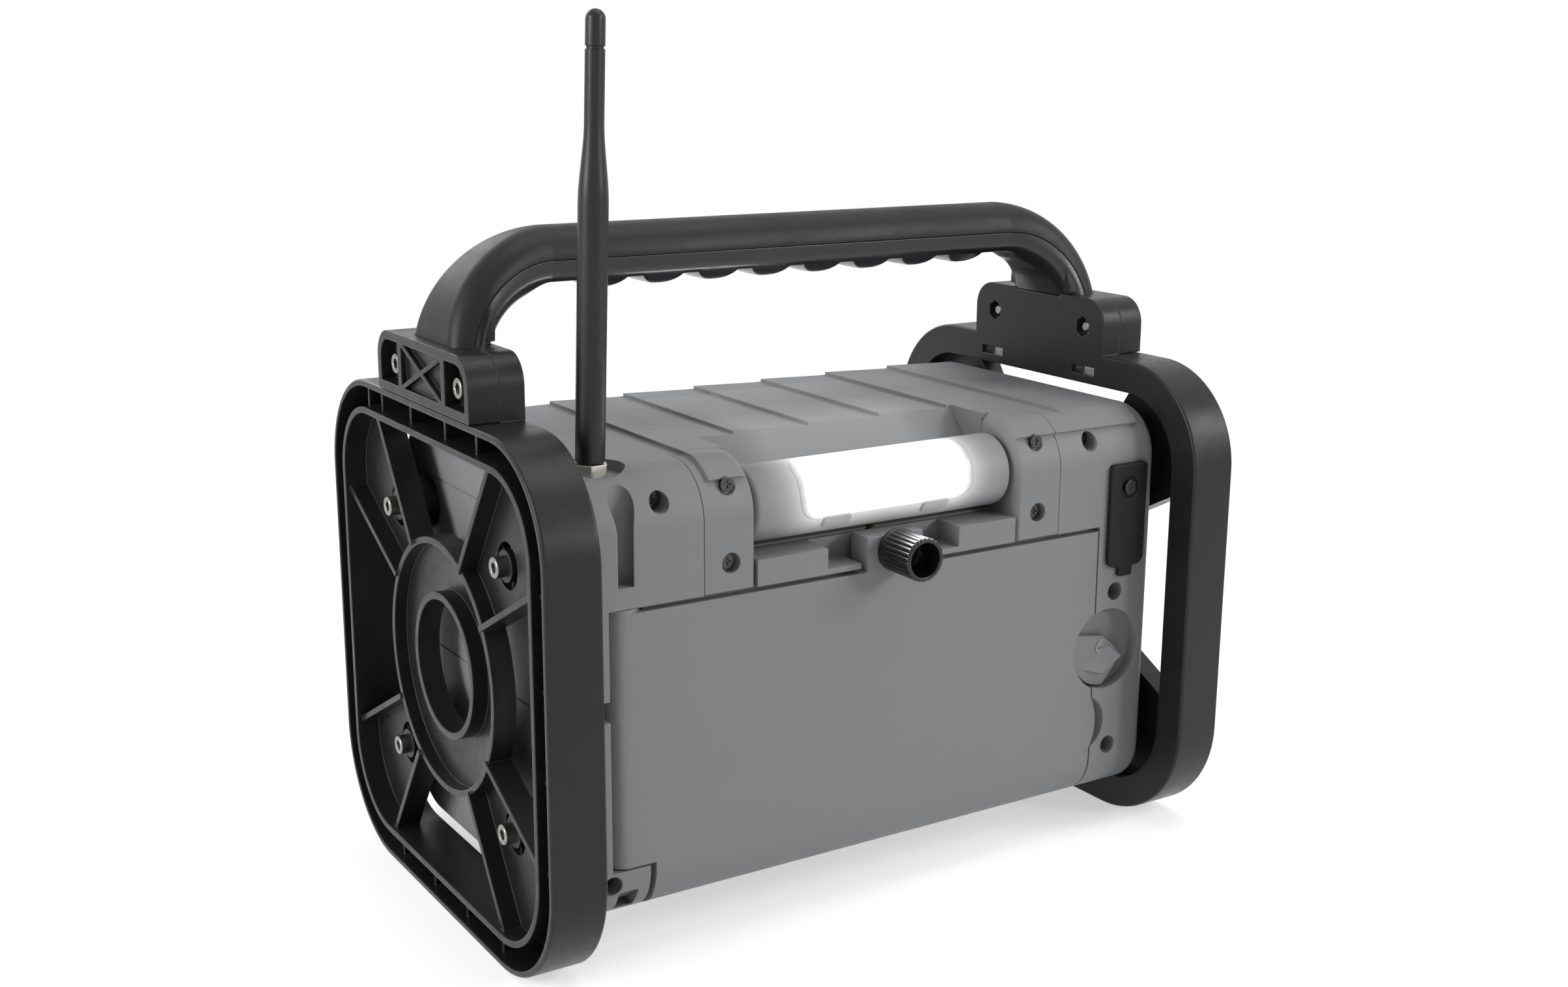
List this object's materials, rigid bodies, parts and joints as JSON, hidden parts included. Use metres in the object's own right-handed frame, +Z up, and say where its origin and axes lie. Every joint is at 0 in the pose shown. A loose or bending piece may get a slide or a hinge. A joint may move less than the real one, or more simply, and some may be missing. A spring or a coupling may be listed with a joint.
{
  "type": "jobsite radio",
  "caption": "Boxy portable radio in a roll cage of two ribbed side guards and a carrying handle, with a tilting rear lamp, a hinged battery door and a rubber whip antenna",
  "frame": {"origin": "on the floor, midway between the two side guards and midway between their front and rear edges", "axes": "+Z up, the speakers face -Y, the lamp and battery door face +Y, X runs across the radio from guard to guard with the antenna on the +X side"},
  "size_m": [0.34, 0.222, 0.3704],
  "materials": {
    "body_grey": "fine-textured moulded ABS",
    "cage_black": "satin moulded polypropylene",
    "grip_gloss": "polished moulded plastic",
    "screw_chrome": "bright nickel plating",
    "zinc_steel": "zinc-plated",
    "whip_rubber": "satin moulded sleeve",
    "lens_clear": "diffusing clear polycarbonate, lit from behind",
    "lamp_light": "white diodes on a white strip",
    "reflector": "vacuum-plated trough",
    "seal_rubber": "matt moulded rubber",
    "knob_gloss": "polished moulded plastic",
    "insert_brass": "turned",
    "socket_metal": "nickel-plated shell",
    "inner_black": "plain moulded",
    "cell_jacket": "printed-free plain jacket",
    "board_green": "solder resist",
    "grille_black": "powder coated",
    "cone_paper": "coated paper",
    "magnet": "bare ferrite",
    "panel_black": "satin moulded",
    "window_clear": "clear window",
    "display_glass": "unlit display",
    "key_rubber": "matt keys without print"
  },
  "bodies": {
    "radio": {"rear_housing": "body_grey", "front_housing": "body_grey", "lamp_cheek_right": "body_grey", "lamp_cheek_left": "body_grey", "guard_right": "cage_black", "guard_left": "cage_black", "clamp_cover_right": "cage_black", "clamp_cover_left": "cage_black", "handle_shell": "cage_black", "handle_grip": "grip_gloss", "cheek_screws": "screw_chrome", "housing_screws": "screw_chrome", "guard_screws": "screw_chrome", "clamp_screws": "screw_chrome", "clamp_nuts": "zinc_steel", "cover_screw": "screw_chrome", "door_pins": "zinc_steel", "latch_pivot": "screw_chrome", "antenna_whip": "whip_rubber", "antenna_nut": "screw_chrome", "antenna_stud": "zinc_steel", "threaded_insert": "insert_brass", "socket_panel": "knob_gloss", "sockets": "socket_metal", "battery_tray": "inner_black", "battery_cells": "cell_jacket", "battery_contacts": "zinc_steel", "main_board": "board_green", "key_board": "board_green", "speaker_grille_right": "grille_black", "speaker_grille_left": "grille_black", "speaker_frames": "zinc_steel", "speaker_cones": "cone_paper", "speaker_magnets": "magnet", "control_panel": "panel_black", "display_window": "window_clear", "display_module": "display_glass", "control_encoder": "zinc_steel"},
    "door": {"battery_door": "body_grey", "door_seal": "seal_rubber"},
    "thumbscrew": {"thumbscrew_knob": "knob_gloss", "thumbscrew_shank": "zinc_steel", "retaining_ring": "zinc_steel"},
    "latch": {"latch_plate": "body_grey"},
    "cover": {"socket_cover": "seal_rubber"},
    "lamp": {"lamp_tube": "body_grey", "lamp_lens": "lens_clear", "lamp_board": "lamp_light", "lamp_reflector": "reflector"},
    "volume": {"volume_knob": "knob_gloss"},
    "tuning": {"tuning_dial": "knob_gloss"},
    "key_1": {"key_1": "key_rubber"},
    "key_2": {"key_2": "key_rubber"},
    "key_3": {"key_3": "key_rubber"},
    "key_4": {"key_4": "key_rubber"},
    "key_5": {"key_5": "key_rubber"},
    "key_6": {"key_6": "key_rubber"}
  },
  "joints": [
    {"name": "door_hinge", "type": "hinge", "parent": "radio", "child": "door", "pos_m": [0.1238, 0.078, 0.093], "axis": [0, 0, -1], "range_deg": [0, 90]},
    {"name": "thumbscrew_turn", "type": "hinge", "parent": "door", "child": "thumbscrew", "pos_m": [-0.0015, 0.096, 0.1543], "axis": [0, 1, 0], "continuous": true},
    {"name": "latch_turn", "type": "hinge", "parent": "radio", "child": "latch", "pos_m": [-0.122, 0.083, 0.0896], "axis": [0, 1, 0], "range_deg": [0, 90]},
    {"name": "cover_swing", "type": "hinge", "parent": "radio", "child": "cover", "pos_m": [-0.1293, 0.0875, 0.1655], "axis": [0, -1, 0], "range_deg": [0, 100]},
    {"name": "lamp_tilt", "type": "hinge", "parent": "radio", "child": "lamp", "pos_m": [0, 0.0677, 0.1777], "axis": [1, 0, 0], "range_deg": [-35, 45]},
    {"name": "volume_turn", "type": "hinge", "parent": "radio", "child": "volume", "pos_m": [0, -0.104, 0.071], "axis": [0, 1, 0], "range_deg": [0, 300]},
    {"name": "tuning_turn", "type": "hinge", "parent": "radio", "child": "tuning", "pos_m": [0, -0.094, 0.071], "axis": [0, 1, 0], "continuous": true},
    {"name": "key_1_press", "type": "slide", "parent": "radio", "child": "key_1", "axis": [0, 1, 0], "range_m": [0, 0.0012], "stiffness_N_per_m": 900},
    {"name": "key_2_press", "type": "slide", "parent": "radio", "child": "key_2", "axis": [0, 1, 0], "range_m": [0, 0.0012], "stiffness_N_per_m": 900},
    {"name": "key_3_press", "type": "slide", "parent": "radio", "child": "key_3", "axis": [0, 1, 0], "range_m": [0, 0.0012], "stiffness_N_per_m": 900},
    {"name": "key_4_press", "type": "slide", "parent": "radio", "child": "key_4", "axis": [0, 1, 0], "range_m": [0, 0.0012], "stiffness_N_per_m": 900},
    {"name": "key_5_press", "type": "slide", "parent": "radio", "child": "key_5", "axis": [0, 1, 0], "range_m": [0, 0.0012], "stiffness_N_per_m": 900},
    {"name": "key_6_press", "type": "slide", "parent": "radio", "child": "key_6", "axis": [0, 1, 0], "range_m": [0, 0.0012], "stiffness_N_per_m": 900}
  ]
}
